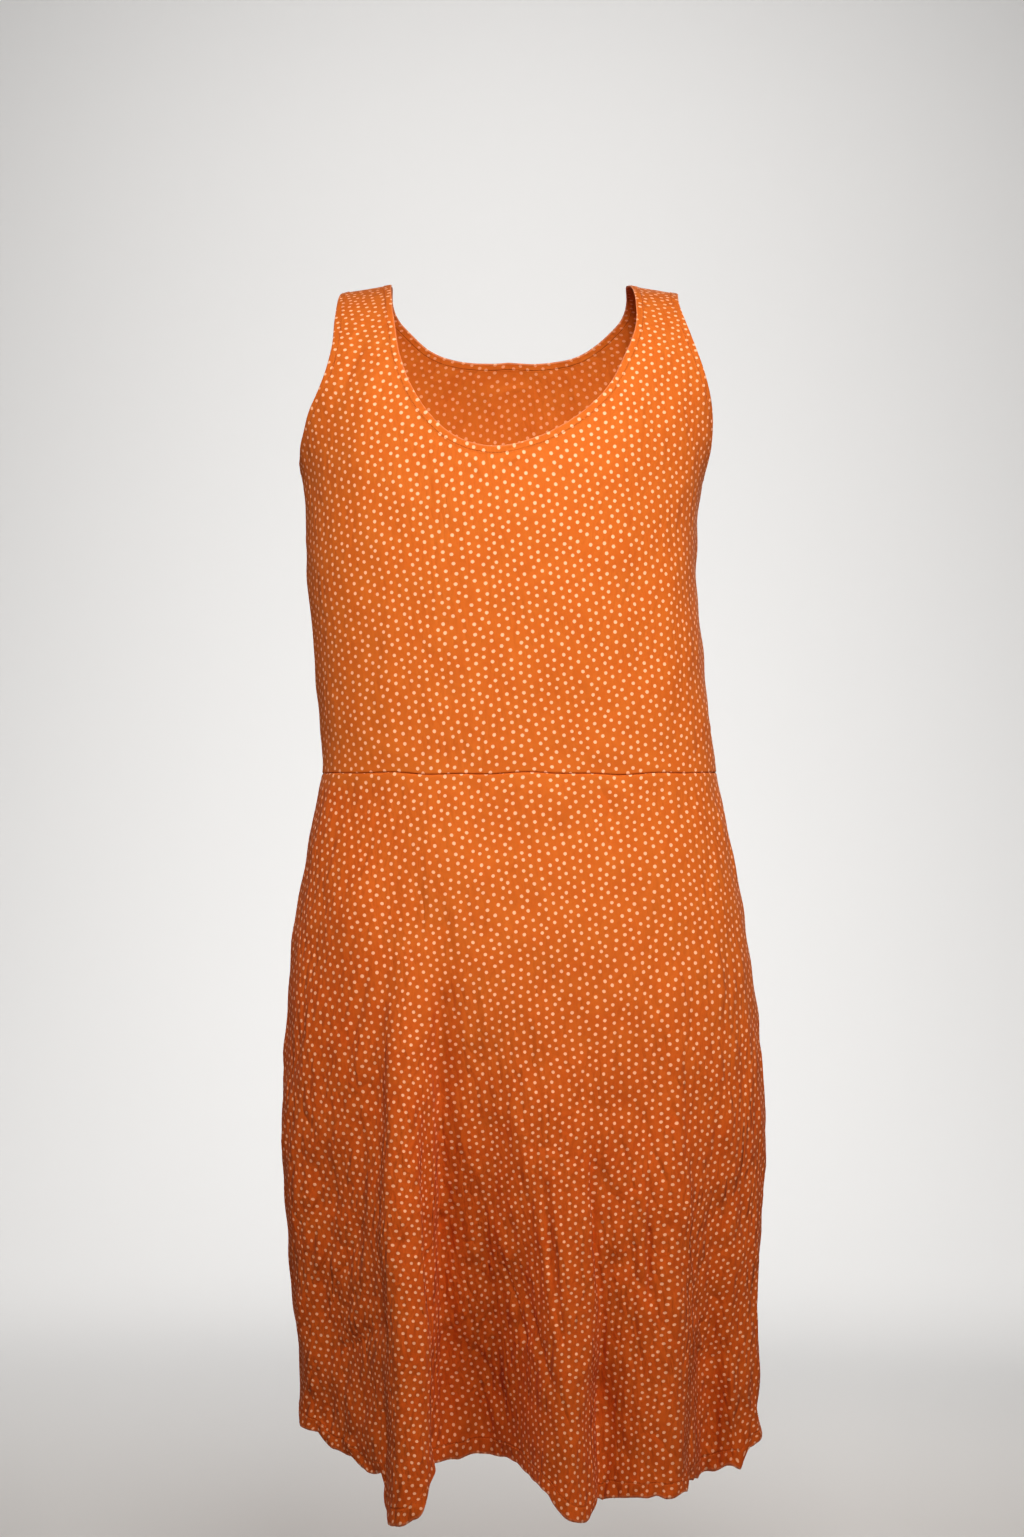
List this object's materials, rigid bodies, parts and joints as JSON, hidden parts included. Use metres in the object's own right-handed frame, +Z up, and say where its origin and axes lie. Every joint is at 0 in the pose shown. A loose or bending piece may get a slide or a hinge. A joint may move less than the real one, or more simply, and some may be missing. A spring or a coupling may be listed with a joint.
{
  "type": "sleeveless scoop neck dress",
  "caption": "Sleeveless orange dress with small cream dots, a deep scoop neck, a waist seam and a skirt that falls in flutes to an uneven hem.",
  "frame": {"origin": "midway between the two straps, on the underside of the cloth at the shoulder line, where a wearer's shoulders hold the dress up", "axes": "+Z up, -Y the way the front faces, +X towards the right of the picture"},
  "size_m": [0.4192, 0.305, 1.0418],
  "materials": {
    "dotted_cloth": "matt"
  },
  "bodies": {
    "root": {"front_bodice": "dotted_cloth", "back_bodice": "dotted_cloth", "front_skirt": "dotted_cloth", "back_skirt": "dotted_cloth"}
  },
  "joints": []
}
